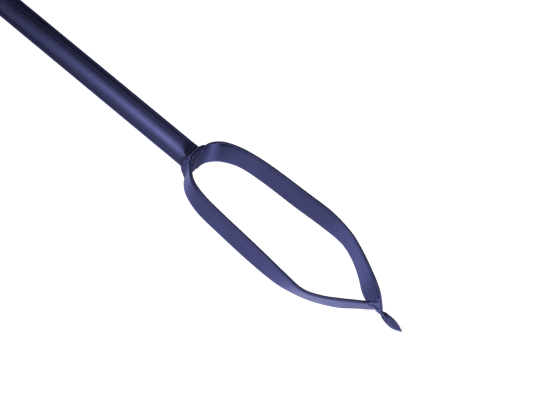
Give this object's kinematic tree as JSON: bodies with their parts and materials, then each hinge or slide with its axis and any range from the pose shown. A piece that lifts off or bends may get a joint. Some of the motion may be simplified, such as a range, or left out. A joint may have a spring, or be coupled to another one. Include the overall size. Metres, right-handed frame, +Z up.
{
  "type": "bulb planter",
  "caption": "Long-handled steel bulb planter: T-handle with rubber grips, tubular shaft, and an open loop of flat blades that twists into a screw point.",
  "frame": {"origin": "tip of the screw point, which is the lowest point of the tool", "axes": "+Z up the shaft towards the T-handle, X along the crossbar, -Y towards the front of the shaft, where its label and vent hole are"},
  "size_m": [0.48, 0.0364, 1.0552],
  "materials": {
    "paint": "blue-violet metallic paint, satin to semi-gloss",
    "weld": "the same paint over rounded weld beads",
    "grip_rubber": "matte black foam rubber",
    "label": "white film label with a satin face"
  },
  "bodies": {
    "root": {"shaft_tube": "paint", "crossbar_tube": "paint", "left_grip": "grip_rubber", "right_grip": "grip_rubber", "label": "label", "left_blade": "paint", "right_blade": "paint", "crossbar_weld": "weld", "foot_weld": "weld", "seam_weld": "weld", "point_weld_inner": "weld", "point_weld_outer": "weld"}
  },
  "joints": []
}
